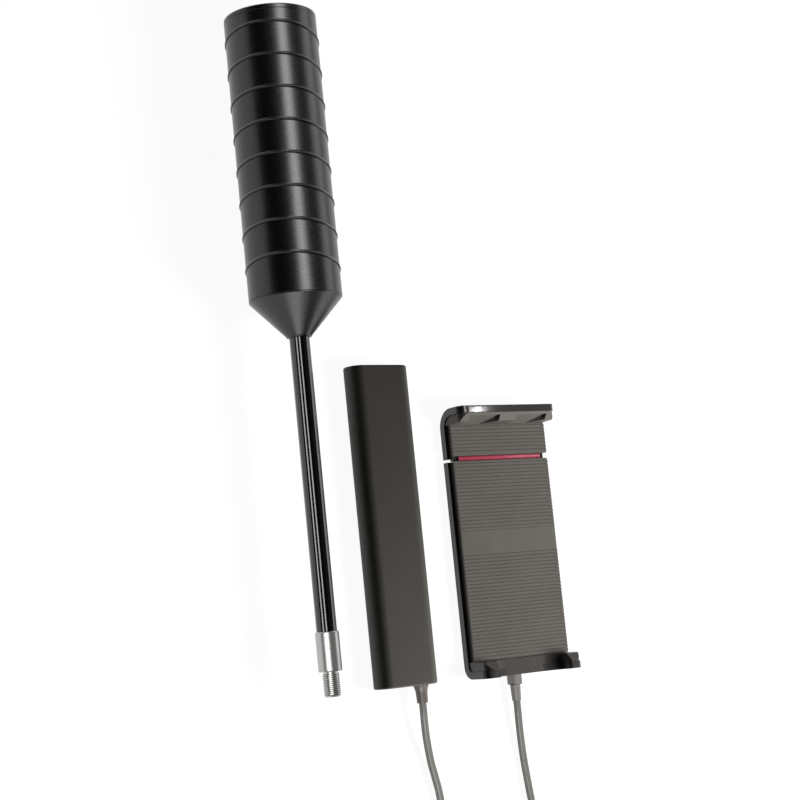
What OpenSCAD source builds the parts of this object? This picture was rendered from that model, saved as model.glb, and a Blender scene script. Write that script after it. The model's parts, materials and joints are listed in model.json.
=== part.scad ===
// Cellular signal booster for a vehicle: roof antenna, booster bar and spring-loaded phone cradle.
// The three units lie face up on a table, joined by one cord from the booster to the cradle.
// X runs across the row of units, Y along their long sides, Z up from the table.

/* [Layout] */
// Place of the antenna's axis across the row
antenna_x = -78.7; // [-120:0.1:-70]
// Place of the antenna's top along the row
antenna_top_y = 202.9; // [150:0.1:260]
// Place of the booster's middle across the row
booster_x = -16.4; // [-20:0.1:-10]
// Place of the booster's lower end along the row
booster_end_y = -192.2; // [-195:0.1:-150]
// Place of the cradle's middle across the row
cradle_x = 69.6; // [60:0.1:90]
// Place of the cradle's lower end along the row
cradle_end_y = -193.1; // [-195:0.1:-150]

/* [Antenna] */
// Diameter of the radome tube
radome_d = 54; // [46:0.5:60]
// Length of the radome, cap included
radome_len = 168; // [165:1:185]
// Wall of the radome tube
radome_wall = 2.4; // [1.5:0.1:4]
// Thickness of the radome's top cap
radome_cap_t = 3; // [2:0.5:5]
// Number of beads round the radome
bead_count = 8; // [1:1:8]
// Distance between beads
bead_pitch = 19.3; // [10:0.1:20]
// Distance from the antenna's top to the first bead's middle
bead_top = 16.6; // [12:0.1:20]
// How far a bead stands out
bead_h = 0.9; // [0.3:0.1:2]
// Width of a bead at its foot
bead_w = 2.6; // [1.4:0.1:4]
// Slant of the beads
bead_slant = 12.7; // [0:0.1:20]
// Which way the beads' high side faces, turned from straight up
bead_turn = 42; // [-90:1:90]
// Length of the cone under the radome
cone_len = 22.6; // [12:0.1:26]
// Diameter of the cone's small end
cone_end_d = 15.2; // [13:0.1:18]
// Diameter of the mast
mast_d = 11.8; // [10:0.1:12.5]
// Length of mast between the cone and the ferrule
mast_len = 167.9; // [100:0.1:220]
// Diameter of the ferrule
ferrule_d = 13.6; // [13.2:0.1:18]
// Length of the ferrule
ferrule_len = 22.3; // [20:0.1:30]
// Diameter of the threaded stud, a 3/8 inch thread
stud_d = 9.525; // [8:0.005:10]
// Length of stud below the ferrule
stud_len = 14.2; // [10:0.1:20]

/* [Booster] */
// Width of the booster
booster_w = 40.5; // [40:0.5:46]
// Length of the booster
booster_len = 190.8; // [170:0.1:220]
// Thickness of the booster
booster_t = 16.5; // [16:0.1:19]
// Radius of the booster's long edges
booster_r = 7.6; // [5:0.05:7.8]
// Wall of the booster's sleeve
sleeve_wall = 1.8; // [1.4:0.1:2]
// Thickness of the end caps
end_cap_t = 2.2; // [1.6:0.1:4]
// Offset of the cord from the booster's middle
booster_cord_dx = 10.6; // [0:0.1:11]
// Length of the strain relief
relief_len = 10.7; // [8:0.1:16]
// Diameter of the strain relief at the booster
relief_d = 9.4; // [8:0.1:11]

/* [Cradle] */
// Width of the cradle
cradle_w = 74; // [70:0.5:86]
// Length of the cradle with the jaw closed
cradle_len = 165.1; // [160:0.1:175]
// Thickness of the back shells
shell_t = 4.4; // [3.6:0.1:4.6]
// Height of the slide's layer between shell and grip
slide_t = 3.3; // [3:0.1:5]
// Height of the ribbed grips
grip_t = 2.7; // [2:0.1:4]
// Height of the lips above the table
lip_z = 24; // [18:0.5:26]
// Thickness of a lip at its front, liner included
lip_front = 4.9; // [4.8:0.1:7]
// Height at which a lip's inner wall turns towards its front
lip_shoulder_z = 20; // [16:0.5:22]
// Thickness of a lip at the grip, liner included
lip_root = 10.2; // [10:0.1:11.5]
// Outer radius of the bend from the jaw's back to its lip
jaw_bend_r = 12; // [10:0.5:12]
// Outer radius of the bend from the cradle's back to its lower lip
lower_bend_r = 7.5; // [6:0.5:9]
// Radius of the lips' front corners
lip_corner_r = 6; // [2:0.5:6]
// Width of each prong of the lower lip
prong_w = 9.5; // [8:0.5:14]
// Radius of the hollow beside each prong
prong_r = 13; // [8:0.5:14]
// Height of the lower lip between the prongs
notch_z = 11.6; // [11.2:0.1:14]
// Length of the jaw's grip
jaw_grip_len = 19.2; // [14:0.1:24]
// Gap between the two grips with the jaw closed
jaw_gap = 3.2; // [2.5:0.1:4]
// Distance the jaw slides out
jaw_travel = 42; // [20:1:45]
// Distance between grip ribs
rib_pitch = 2.2; // [1.6:0.1:3]
// Depth of the grooves between ribs
rib_depth = 0.4; // [0.2:0.1:0.8]
// Length of the plain band on the lower grip
band_len = 14.8; // [8:0.1:24]
// Distance from the lower grip's top to the plain band
band_top = 43.2; // [30:0.1:60]
// Length of the red strip
strip_len = 63.5; // [40:0.5:66]

/* [Mount and cord] */
// Spacing of the back mount's holes across the cradle
mount_dx = 30.2; // [24:0.1:38]
// Spacing of the back mount's holes along the cradle
mount_dy = 38.1; // [30:0.1:44]
// Thread diameter of the back mount's inserts
mount_d = 4; // [3:0.5:4]
// Diameter of the cord
cord_d = 4.5; // [3.5:0.1:5]
// Mean diameter of the cord's coil
coil_d = 54; // [45:1:54]

/* [Hidden] */
$fn = 64;

// Clearances: sliding pieces, pieces of one unit that lie beside each other, faces that touch
slide_gap = 0.4;
fit_gap = 0.1;
touch_gap = 0.05;

// Antenna
radome_r = radome_d / 2;
radome_in_r = radome_r - radome_wall;
antenna_z = radome_r + bead_h;
radome_end_y = antenna_top_y - radome_len;
cone_end_y = radome_end_y - cone_len;
ferrule_top_y = cone_end_y - mast_len;
ferrule_end_y = ferrule_top_y - ferrule_len;
stud_end_y = ferrule_end_y - stud_len;
spigot_len = 8;
mast_socket = 12;
mast_bore_r = 4;
mast_top_y = radome_end_y + spigot_len + 6;
mast_end_y = ferrule_top_y - mast_socket;
lower_radiator_len = 56;
upper_radiator_len = 60;
radiator_gap = 6;
lower_radiator_y = mast_top_y + 4;
upper_radiator_y = lower_radiator_y + lower_radiator_len + radiator_gap;
lower_radiator_r = 10;
upper_radiator_r = 8;
radiator_wall = 0.8;
spacer_t = 4;
coax_r = 1.4;
stud_edge = 1;
stud_neck = 1.2;

// Booster
booster_top_y = booster_end_y + booster_len;
booster_z = booster_t / 2;
sleeve_in_w = booster_w - 2 * sleeve_wall;
board_t = 1.6;
board_w = sleeve_in_w - 1.8;
rail_t = 1.2;
rail_w = 1.9;
screw_boss_dx = sleeve_in_w / 2 - 3.1;
screw_boss_z = sleeve_wall + 3;
screw_boss_r = 2.2;
cap_screw_r = 0.8;
cap_screw_len = 9;
cap_head_r = 1.3;
cap_head_t = 1.2;
shield_can_h = 3;
jack_x = booster_x - 7;
jack_r = 3.175;
jack_len = 9.5;
jack_neck = 0.8;
jack_neck_r = 2.6;
jack_bore_r = 2.3;
jack_body = 7;
jack_pocket_r = 5.4;
jack_pocket_wall = 0.9;
jack_pocket_floor = 1.2;
jack_pocket_y = booster_top_y - 10.5;
inlet_x = booster_x + 8.5;
inlet_w = 8.94;
inlet_t = 3.26;
inlet_len = 7.5;
inlet_tongue_w = 6.7;
inlet_tongue_t = 0.7;
board_top_y = booster_top_y - 18.5;
board_end_y = booster_end_y + 12;
cord_r = cord_d / 2;
relief_neck_r = 3.2;

// Cradle
cradle_top_y = cradle_end_y + cradle_len;
cradle_left = cradle_x - cradle_w / 2;
cradle_right = cradle_x + cradle_w / 2;
grip_z = shell_t + slide_t;
grip_top_z = grip_z + grip_t;
grip_plate_z = grip_top_z - 1.2;
jaw_grip_top_y = cradle_top_y - lip_root;
jaw_end_y = jaw_grip_top_y - jaw_grip_len;
body_top_y = jaw_end_y - jaw_gap;
lower_grip_end_y = cradle_end_y + lip_root;
grip_inset = 0.8;
groove_inset = 2.2;
shell_floor = 1.8;
shell_rim = 2.4;
tongue_w = 50;
tongue_slot_w = 16;
tongue_slot_dx = 14;
tongue_hold = 26;
tongue_end_y = body_top_y - jaw_travel - tongue_hold;
spring_dx = 30;
spring_slot_w = 3.8;
spring_wire_r = 0.3;
spring_r = 1.25;
spring_top_y = body_top_y - 4;
spring_pin_y = spring_top_y - 50;
spring_pin_r = 0.9;
spring_turns = 14;
channel_end_y = tongue_end_y - 2;
mid_z = shell_t + slide_t / 2;
layer_z = [shell_t + 0.02, grip_z - 0.02];
screw_head_r = 1.9;
screw_r = 0.9;
shell_screw_dx = 33.1;
shell_screw_y = [cradle_end_y + 22, body_top_y - 66];
jaw_screw_dx = 26;
jaw_screw_y = jaw_end_y + 11;
mount_y = cradle_end_y + 88;
insert_r = 3;
lip_pocket_w = 23;
lip_pocket_dx = 18;
lip_pocket_run = 3.5;
lip_pocket_z = [grip_top_z + 0.4, lip_z - 1.1];
lip_lean = 0.6;
notch_skin = 1;
notch_rise = lip_z - notch_z;
notch_half = cradle_w / 2 - prong_w - sqrt(prong_r * prong_r - pow(prong_r - notch_rise, 2));
jaw_lap = 1.4;
jaw_bend_end = jaw_bend_r + fit_gap;
jaw_bend_z = [shell_t + 0.4, layer_z[1]];
bay_half_w = 26;
bay_y = [lower_grip_end_y + 10, channel_end_y - 4];
plug_x = cradle_x - 4.2;
plug_w = 5.8;
plug_t = 8.4;
plug_z = 5.4;
plug_len = 6;
plug_nose = 5.5;
port_gap = 0.3;
socket_half_w = 3.6;
socket_y = [cradle_end_y + plug_nose + 0.2, lower_grip_end_y + 3.6];
socket_z = [2.6, grip_z - 0.2];
boot_end_y = cradle_end_y - 16;

// Cord: the hand-chosen points of its two runs, the coil beyond the units
coil_x = 36;
coil_y = -315;
coil_r = coil_d / 2;
turn_step = cord_d * 1.02;
turns_wide = 4;
turns_high = 2;
tie_t = 0.9;
coil_z = tie_t + 0.2;
coil_left_x = coil_x - coil_r - (turns_wide - 1) * turn_step / 2;
coil_right_x = coil_x + coil_r + (turns_wide - 1) * turn_step / 2;
relief_end_y = booster_end_y - relief_len;
booster_cord_x = booster_x + booster_cord_dx;
run_gap = 0.15;
booster_run = [
    [booster_cord_x, relief_end_y - run_gap, booster_z],
    [booster_cord_x, relief_end_y - 6, booster_z],
    [booster_cord_x + 1.4, -223, 6.4],
    [booster_cord_x + 5, -239, 3.6],
    [booster_cord_x + 8.6, -255, 3.2],
    [booster_cord_x + 10, -273, 3.3],
    [coil_left_x + 1.2, -293, 3.4],
    [coil_left_x, coil_y + 4, coil_z + cord_r]];
cradle_run = [
    [plug_x, boot_end_y - run_gap, plug_z],
    [plug_x, boot_end_y - 6, plug_z],
    [plug_x + 0.8, -229, 4.2],
    [plug_x + 2.4, -245, 3],
    [plug_x + 3.8, -261, 3.2],
    [plug_x + 4.6, -279, 4.6],
    [coil_right_x + 0.2, -297, 6.6],
    [coil_right_x, coil_y + 4, coil_z + cord_r + turn_step]];

// Helpers: shapes drawn flat and carried along an axis
module along_x(x0, x1) {
    translate([x0, 0, 0])
        rotate([90, 0, 90])
            linear_extrude(x1 - x0)
                children();
}

module along_y(y0, y1) {
    translate([0, y1, 0])
        rotate([90, 0, 0])
            linear_extrude(y1 - y0)
                children();
}

module box(x, y, z) {
    translate([x[0], y[0], z[0]])
        cube([x[1] - x[0], y[1] - y[0], z[1] - z[0]]);
}

// A round piece on the antenna's axis, from its half section [radius, y]
module on_antenna() {
    translate([antenna_x, 0, antenna_z])
        rotate([-90, 0, 0])
            children();
}

module turned(section) {
    rotate_extrude($fn = 96)
        polygon(section);
}

module tube_y(y0, y1, r_out, r_in) {
    turned([[r_in, y0], [r_out, y0], [r_out, y1], [r_in, y1]]);
}

// A round bar along Y at any place
module rod_y(x, z, y0, y1, r) {
    translate([x, y0, z])
        rotate([-90, 0, 0])
            cylinder(h = y1 - y0, r = r);
}

// A rectangle with round corners, centred
module rounded(w, h, r) {
    square([w - 2 * r, h], center = true);
    square([w, h - 2 * r], center = true);
    for (sx = [-1, 1], sy = [-1, 1])
        translate([sx * (w / 2 - r), sy * (h / 2 - r)])
            circle(r);
}

// Sweeping a round section along a path
function unit(v) = v / norm(v);
function tangent(path, i) = unit(path[min(i + 1, len(path) - 1)] - path[max(i - 1, 0)]);
function ring(centre, t, ref, r, n) =
    let (side = unit(cross(t, ref)), up = cross(side, t))
    [for (k = [0 : n - 1]) centre + r * (cos(360 * k / n) * side + sin(360 * k / n) * up)];
function spline_point(a, b, c, d, t) =
    0.5 * (2 * b + (c - a) * t + (2 * a - 5 * b + 4 * c - d) * t * t + (3 * b - a - 3 * c + d) * t * t * t);
function smooth_path(p, steps) = concat(
    [for (i = [0 : len(p) - 2], s = [0 : steps - 1])
        spline_point(p[max(i - 1, 0)], p[i], p[i + 1], p[min(i + 2, len(p) - 1)], s / steps)],
    [p[len(p) - 1]]);

module tube(path, r, n, ref) {
    last = len(path) - 1;
    rings = [for (i = [0 : last]) each ring(path[i], tangent(path, i), ref, r, n)];
    walls = [for (i = [0 : last - 1], k = [0 : n - 1])
        [i * n + k, (i + 1) * n + k, (i + 1) * n + (k + 1) % n, i * n + (k + 1) % n]];
    ends = [[for (k = [0 : n - 1]) k], [for (k = [n - 1 : -1 : 0]) last * n + k]];
    polyhedron(rings, concat(walls, ends), convexity = 6);
}

// Antenna: radome tube with slanted beads
module bead(y, h, w) {
    intersection() {
        translate([0, 0, y - radome_r])
            cylinder(h = radome_d, r = radome_r + h, $fn = 96);
        translate([0, 0, y])
            rotate([0, 0, 270 - bead_turn])
                rotate([0, -bead_slant, 0])
                    translate([-radome_d, -radome_d, -w / 2])
                        cube([2 * radome_d, 2 * radome_d, w]);
    }
}

module radome() {
    color("#232423")
        on_antenna()
            difference() {
                union() {
                    translate([0, 0, radome_end_y])
                        cylinder(h = radome_len - radome_cap_t, r = radome_r, $fn = 96);
                    for (i = [0 : bead_count - 1]) {
                        bead(antenna_top_y - bead_top - i * bead_pitch, bead_h / 2, bead_w);
                        bead(antenna_top_y - bead_top - i * bead_pitch, bead_h, bead_w / 2);
                    }
                }
                translate([0, 0, radome_end_y - 1])
                    cylinder(h = radome_len, r = radome_in_r, $fn = 96);
            }
}

module radome_cap() {
    edge = 1.2;
    y0 = antenna_top_y - radome_cap_t;
    spigot_r = radome_in_r - fit_gap;
    color("#2a2b2a")
        on_antenna()
            difference() {
                turned([[0, y0 - 6], [spigot_r, y0 - 6], [spigot_r, y0 + touch_gap],
                    [radome_r, y0 + touch_gap], [radome_r, antenna_top_y - edge],
                    [radome_r - 0.35 * edge, antenna_top_y - 0.35 * edge],
                    [radome_r - edge, antenna_top_y], [0, antenna_top_y]]);
                translate([0, 0, y0 - 7])
                    cylinder(h = 7, r = spigot_r - 2, $fn = 96);
            }
}

module radome_cone() {
    wall = 2.6;
    bore_r = mast_d / 2 + fit_gap;
    spigot_r = radome_in_r - fit_gap;
    color("#1f2020")
        on_antenna()
            turned([[bore_r, cone_end_y], [cone_end_d / 2 - 1, cone_end_y],
                [cone_end_d / 2, cone_end_y + 1.4],
                [radome_r, radome_end_y - 1.2], [radome_r, radome_end_y - touch_gap],
                [spigot_r, radome_end_y - touch_gap], [spigot_r, radome_end_y + spigot_len],
                [spigot_r - wall, radome_end_y + spigot_len], [spigot_r - wall, radome_end_y],
                [bore_r + wall, cone_end_y + 6], [bore_r + wall, radome_end_y + 4],
                [bore_r, radome_end_y + 4]]);
}

module upper_radiator() {
    color("#b08d4c")
        on_antenna()
            tube_y(upper_radiator_y, upper_radiator_y + upper_radiator_len, upper_radiator_r,
                upper_radiator_r - radiator_wall);
}

module lower_radiator() {
    color("#b08d4c")
        on_antenna()
            tube_y(lower_radiator_y, lower_radiator_y + lower_radiator_len, lower_radiator_r,
                lower_radiator_r - radiator_wall);
}

module radiator_spacers() {
    module spacer(y, radiator_r) {
        tube_y(y, y + spacer_t, radome_in_r - fit_gap, radiator_r + fit_gap);
    }
    color("#d8d6cf")
        on_antenna() {
            spacer(lower_radiator_y + 20, lower_radiator_r);
            spacer(upper_radiator_y + 36, upper_radiator_r);
        }
}

module feed_coax() {
    color("#3a3a3a")
        on_antenna()
            translate([0, 0, mast_end_y + 1])
                cylinder(h = upper_radiator_y - mast_end_y + 8, r = coax_r);
}

module mast() {
    color("#161616")
        on_antenna()
            tube_y(mast_end_y + fit_gap, mast_top_y, mast_d / 2, mast_bore_r);
}

module ferrule() {
    r = ferrule_d / 2;
    color("#c9c9c6")
        on_antenna()
            turned([[stud_d / 2 + fit_gap, ferrule_end_y], [r - 0.6, ferrule_end_y], [r, ferrule_end_y + 0.6],
                [r, ferrule_top_y - 0.6], [r - 0.6, ferrule_top_y], [mast_d / 2 + fit_gap, ferrule_top_y],
                [mast_d / 2 + fit_gap, mast_end_y], [stud_d / 2 + fit_gap, mast_end_y]]);
}

module stud() {
    r = stud_d / 2;
    color("#bdbdb9")
        on_antenna()
            turned([[0, stud_end_y], [r - stud_edge, stud_end_y], [r, stud_end_y + stud_edge],
                [r, ferrule_end_y - stud_neck], [r - 0.6, ferrule_end_y - stud_neck],
                [r - 0.6, ferrule_end_y], [r, ferrule_end_y], [r, mast_end_y - fit_gap],
                [0, mast_end_y - fit_gap]]);
}

// Booster: sleeve drawn out along its length, with rails for the board and two screw channels
module booster_section(inset) {
    translate([booster_x, booster_z])
        rounded(booster_w - 2 * inset, booster_t - 2 * inset, booster_r - inset);
}

module sleeve_core() {
    difference() {
        booster_section(sleeve_wall);
        for (s = [-1, 1]) {
            translate([booster_x + s * sleeve_in_w / 2, booster_z]) {
                for (side = [-1, 1])
                    translate([0, side * (board_t + rail_t + 2 * fit_gap) / 2])
                        square([2 * rail_w, rail_t], center = true);
            }
            translate([booster_x + s * screw_boss_dx, screw_boss_z])
                circle(screw_boss_r);
        }
    }
}

module booster_sleeve() {
    color("#3b3832")
        difference() {
            along_y(booster_end_y, booster_top_y)
                booster_section(0);
            along_y(booster_end_y - 1, booster_top_y + 1)
                sleeve_core();
            along_y(booster_end_y - 1, booster_end_y + end_cap_t)
                booster_section(sleeve_wall);
            along_y(booster_top_y - end_cap_t, booster_top_y + 1)
                booster_section(sleeve_wall);
            for (s = [-1, 1])
                rod_y(booster_x + s * screw_boss_dx, screw_boss_z, booster_end_y - 1, booster_top_y + 1,
                    cap_screw_r + fit_gap);
        }
}

module cap_plate(y0) {
    difference() {
        along_y(y0 + fit_gap, y0 + end_cap_t - fit_gap)
            booster_section(sleeve_wall + fit_gap);
        for (s = [-1, 1])
            rod_y(booster_x + s * screw_boss_dx, screw_boss_z, y0 - 1, y0 + end_cap_t + 1,
                cap_screw_r + fit_gap);
    }
}

// Sinkings for the heads of the end cap screws, from the outer face inwards
module screw_sinks(y0, y1) {
    for (s = [-1, 1])
        rod_y(booster_x + s * screw_boss_dx, screw_boss_z, y0, y1, cap_head_r + fit_gap);
}

module upper_end_cap() {
    y0 = booster_top_y - end_cap_t;
    color("#34322d")
        difference() {
            union() {
                cap_plate(y0);
                rod_y(jack_x, booster_z, jack_pocket_y - jack_pocket_floor, y0 + 1,
                    jack_pocket_r + jack_pocket_wall);
            }
            screw_sinks(booster_top_y - cap_head_t, booster_top_y + 1);
            rod_y(jack_x, booster_z, jack_pocket_y, booster_top_y + 1, jack_pocket_r);
            rod_y(jack_x, booster_z, jack_pocket_y - 3, booster_top_y + 1, jack_neck_r + fit_gap);
            along_y(y0 - 3, booster_top_y + 1)
                translate([inlet_x, booster_z])
                    rounded(inlet_w + 2 * fit_gap, inlet_t + 2 * fit_gap, inlet_t / 2);
        }
}

module lower_end_cap() {
    color("#34322d")
        difference() {
            cap_plate(booster_end_y);
            screw_sinks(booster_end_y - 1, booster_end_y + cap_head_t);
            rod_y(booster_cord_x, booster_z, booster_end_y - 1, booster_end_y + end_cap_t + 1,
                relief_neck_r + fit_gap);
        }
}

module end_cap_screws() {
    module cap_screw(s) {
        translate([booster_x + s * screw_boss_dx, 0, screw_boss_z])
            rotate([-90, 0, 0]) {
                cylinder(h = cap_screw_len, r = cap_screw_r);
                cylinder(h = cap_head_t - 2 * fit_gap, r = cap_head_r);
            }
    }
    color("#55524d")
        for (s = [-1, 1]) {
            translate([0, booster_end_y + fit_gap, 0])
                cap_screw(s);
            translate([0, booster_top_y - fit_gap, 0])
                mirror([0, 1, 0])
                    cap_screw(s);
        }
}

module main_board() {
    color("#2f5d3a")
        difference() {
            box([booster_x - board_w / 2, booster_x + board_w / 2], [board_end_y, board_top_y],
                [booster_z - board_t / 2, booster_z + board_t / 2]);
            for (y = [board_end_y, board_top_y], s = [-1, 1])
                translate([booster_x + s * board_w / 2, y, booster_z])
                    cylinder(h = 2 * board_t, r = 2.5, center = true);
        }
}

module shield_cans() {
    can_w = 22;
    cans = 3;
    pitch = (board_top_y - board_end_y) / cans;
    color("#b9bab8")
        for (i = [0 : cans - 1])
            box([booster_x - can_w / 2, booster_x + can_w / 2],
                [board_end_y + i * pitch + 5, board_end_y + (i + 1) * pitch - 5],
                [booster_z + board_t / 2, booster_z + board_t / 2 + shield_can_h]);
}

module thermal_pads() {
    pad_w = 18;
    pads = 3;
    pitch = (board_top_y - board_end_y) / pads;
    color("#8f9aa5")
        for (i = [0 : pads - 1])
            box([booster_x - pad_w / 2, booster_x + pad_w / 2],
                [board_end_y + i * pitch + 8, board_end_y + (i + 1) * pitch - 8],
                [booster_z + board_t / 2 + shield_can_h, booster_t - sleeve_wall - fit_gap]);
}

module antenna_jack() {
    tip_y = jack_pocket_y + jack_len;
    body_y = jack_pocket_y - jack_pocket_floor - fit_gap;
    color("#c2a25a")
        difference() {
            union() {
                rod_y(jack_x, booster_z, jack_pocket_y + jack_neck, tip_y, jack_r);
                rod_y(jack_x, booster_z, body_y - 1, jack_pocket_y + jack_neck, jack_neck_r);
                along_y(body_y - 4, body_y)
                    translate([jack_x, booster_z])
                        square(jack_body, center = true);
            }
            rod_y(jack_x, booster_z, tip_y - 4, tip_y + 1, jack_bore_r);
        }
}

module power_inlet() {
    wall = 0.3;
    back_y = booster_top_y - inlet_len;
    color("#b5b5b2")
        difference() {
            along_y(back_y, booster_top_y - wall)
                translate([inlet_x, booster_z])
                    rounded(inlet_w, inlet_t, inlet_t / 2 - 0.01);
            along_y(back_y + 1, booster_top_y + 1)
                translate([inlet_x, booster_z])
                    difference() {
                        rounded(inlet_w - 2 * wall, inlet_t - 2 * wall, inlet_t / 2 - wall - 0.01);
                        square([inlet_tongue_w, inlet_tongue_t], center = true);
                    }
        }
}

module strain_relief() {
    r = relief_d / 2;
    color("#5b4f4c")
        translate([booster_cord_x, 0, booster_z])
            rotate([-90, 0, 0])
                turned([[0, relief_end_y], [cord_r + 1, relief_end_y], [cord_r + 1.3, booster_end_y - 4.2],
                    [cord_r + 1.6, booster_end_y - 2.8], [r - 0.5, booster_end_y - 1.5],
                    [r, booster_end_y - 0.7], [r, booster_end_y - touch_gap],
                    [relief_neck_r, booster_end_y - touch_gap],
                    [relief_neck_r, booster_end_y + end_cap_t + 2], [0, booster_end_y + end_cap_t + 2]]);
}

// Cradle lips: side section [distance from the outer end, height] of the shell, bent up into the lip
module lip_section(reach, bend_r) {
    edge = 1;
    translate([bend_r, 0])
        square([reach - bend_r, shell_t]);
    intersection() {
        square(bend_r);
        translate([bend_r, bend_r])
            difference() {
                circle(bend_r, $fn = 96);
                circle(bend_r - shell_t, $fn = 96);
            }
    }
    translate([0, bend_r])
        square([shell_t, lip_z - edge - bend_r]);
    translate([edge, lip_z - 2 * edge])
        square([shell_t - edge, 2 * edge]);
    translate([edge, lip_z - edge])
        circle(edge);
}

// Side section of the pad that lines a lip: from the shell's bend to a steep wall and a sloping front
module liner_section(bend_r) {
    back = shell_t + fit_gap;
    difference() {
        polygon([[back, lip_z], [lip_front, lip_z], [lip_root - lip_lean, lip_shoulder_z],
            [lip_root - fit_gap, grip_top_z], [lip_root - fit_gap, back], [back, back]]);
        difference() {
            square(bend_r);
            translate([bend_r, bend_r])
                circle(bend_r - back, $fn = 96);
        }
    }
}

// Plan of the lips: full width with round front corners
module lip_plan(inset) {
    r = lip_corner_r;
    left = cradle_left + inset;
    right = cradle_right - inset;
    translate([left, -1])
        square([right - left, lip_z - r + 1]);
    translate([left + r, -1])
        square([right - left - 2 * r, lip_z + 1]);
    for (x = [left + r, right - r])
        translate([x, lip_z - r])
            circle(r);
}

// Hollow between the prongs of the lower lip: a flat floor that curves up into each prong
module notch_plan() {
    translate([cradle_x - notch_half, notch_z])
        square([2 * notch_half, 2 * notch_rise]);
    for (s = [-1, 1])
        translate([cradle_x + s * notch_half, notch_z + prong_r])
            circle(prong_r, $fn = 96);
}

// Thin floor of the notch, from the outer end to the lip's pad
module notch_floor(gap) {
    box([cradle_x - notch_half + gap, cradle_x + notch_half - gap],
        [cradle_end_y + gap, cradle_end_y + shell_t + 2], [notch_z - notch_skin + gap / 2, notch_z]);
}

module lower_lip_plan(inset) {
    difference() {
        lip_plan(inset);
        notch_plan();
    }
}

module at_lower_end() {
    translate([0, cradle_end_y, 0])
        children();
}

module at_upper_end() {
    translate([0, cradle_top_y, 0])
        mirror([0, 1, 0])
            children();
}

module shell_screw_places() {
    for (s = [-1, 1], y = shell_screw_y)
        translate([cradle_x + s * shell_screw_dx, y, 0])
            children();
}

module jaw_screw_places() {
    for (s = [-1, 1])
        translate([cradle_x + s * jaw_screw_dx, jaw_screw_y, 0])
            children();
}

module mount_places() {
    for (sx = [-1, 1], sy = [-1, 1])
        translate([cradle_x + sx * mount_dx / 2, mount_y + sy * mount_dy / 2, 0])
            children();
}

module screw_hole() {
    translate([0, 0, -1])
        cylinder(h = shell_t + 2, r = screw_r + fit_gap);
    translate([0, 0, -1])
        cylinder(h = 2.3, r = screw_head_r + fit_gap);
}

module screw() {
    translate([0, 0, 0.1])
        cylinder(h = 1.1, r = screw_head_r);
    translate([0, 0, 1])
        cylinder(h = shell_t + slide_t - 2, r = screw_r);
}

// Opening for the cord's plug and, behind it, the room of the coax socket
module plug_port() {
    box([plug_x - plug_w / 2 - port_gap, plug_x + plug_w / 2 + port_gap],
        [cradle_end_y - 1, cradle_end_y + plug_nose + fit_gap],
        [plug_z - plug_t / 2 - port_gap, plug_z + plug_t / 2 + port_gap]);
    box([plug_x - socket_half_w - fit_gap, plug_x + socket_half_w + fit_gap],
        [cradle_end_y + plug_nose, socket_y[1] + fit_gap],
        [socket_z[0] - fit_gap, socket_z[1] + fit_gap]);
}

module cradle_shell() {
    inner_y = cradle_end_y + lip_root + 2;
    rib_w = 1.6;
    color("#3f3e3d")
        difference() {
            intersection() {
                at_lower_end()
                    along_x(cradle_left, cradle_right)
                        lip_section(body_top_y - cradle_end_y, lower_bend_r);
                along_y(cradle_end_y - 1, body_top_y + 1)
                    lower_lip_plan(0);
            }
            difference() {
                box([cradle_left + shell_rim, cradle_right - shell_rim],
                    [inner_y, body_top_y - shell_rim], [shell_floor, shell_t + 1]);
                for (y = [inner_y + 22 : 30 : body_top_y])
                    box([cradle_left, cradle_right], [y, y + rib_w], [0, shell_t - 0.6]);
                shell_screw_places()
                    cylinder(h = shell_t + 2, r = 3);
                mount_places()
                    cylinder(h = shell_t + 2, r = insert_r + 2);
            }
            shell_screw_places()
                screw_hole();
            mount_places()
                translate([0, 0, -1])
                    cylinder(h = shell_t + 3, r = insert_r + 0.05);
            plug_port();
            translate([0, -fit_gap, 0])
                notch_floor(0);
        }
}

module cradle_chassis() {
    left = cradle_left + groove_inset;
    right = cradle_right - groove_inset;
    half_channel = tongue_w / 2 + slide_gap;
    color("#1e1d1c")
        difference() {
            box([left, right], [lower_grip_end_y, body_top_y], layer_z);
            box([plug_x - socket_half_w - fit_gap, plug_x + socket_half_w + fit_gap],
                [cradle_end_y, socket_y[1] + fit_gap], [shell_t - 1, grip_z + 1]);
            box([cradle_x - half_channel, cradle_x + half_channel], [channel_end_y, body_top_y + 1],
                [shell_t - 1, grip_z + 1]);
            for (s = [-1, 1])
                translate([cradle_x + s * spring_dx, 0, 0])
                    box([-spring_slot_w / 2, spring_slot_w / 2], [spring_pin_y - 3, body_top_y + 1],
                        [shell_t - 1, grip_z + 1]);
            box([cradle_x - bay_half_w, cradle_x + bay_half_w], bay_y, [shell_t - 1, grip_z + 1]);
            shell_screw_places()
                cylinder(h = 2 * grip_z, r = screw_r + fit_gap);
        }
}

// Ribbed surface, drawn as a side section [y, z] from y0 up to y1
function ribs(y0, count) = [for (i = [0 : count - 1]) each [
    [y0 + i * rib_pitch + 0.1, grip_top_z - rib_depth],
    [y0 + i * rib_pitch + 0.4, grip_top_z],
    [y0 + (i + 1) * rib_pitch - 0.4, grip_top_z],
    [y0 + (i + 1) * rib_pitch - 0.1, grip_top_z - rib_depth]]];

// Narrow foot under a ribbed plate, so that the plate's rib ends stand clear of the slide layer
module grip_foot(y0, y1) {
    box([cradle_left + groove_inset, cradle_right - groove_inset], [y0, y1], [grip_z, grip_plate_z + 0.2]);
}

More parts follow.
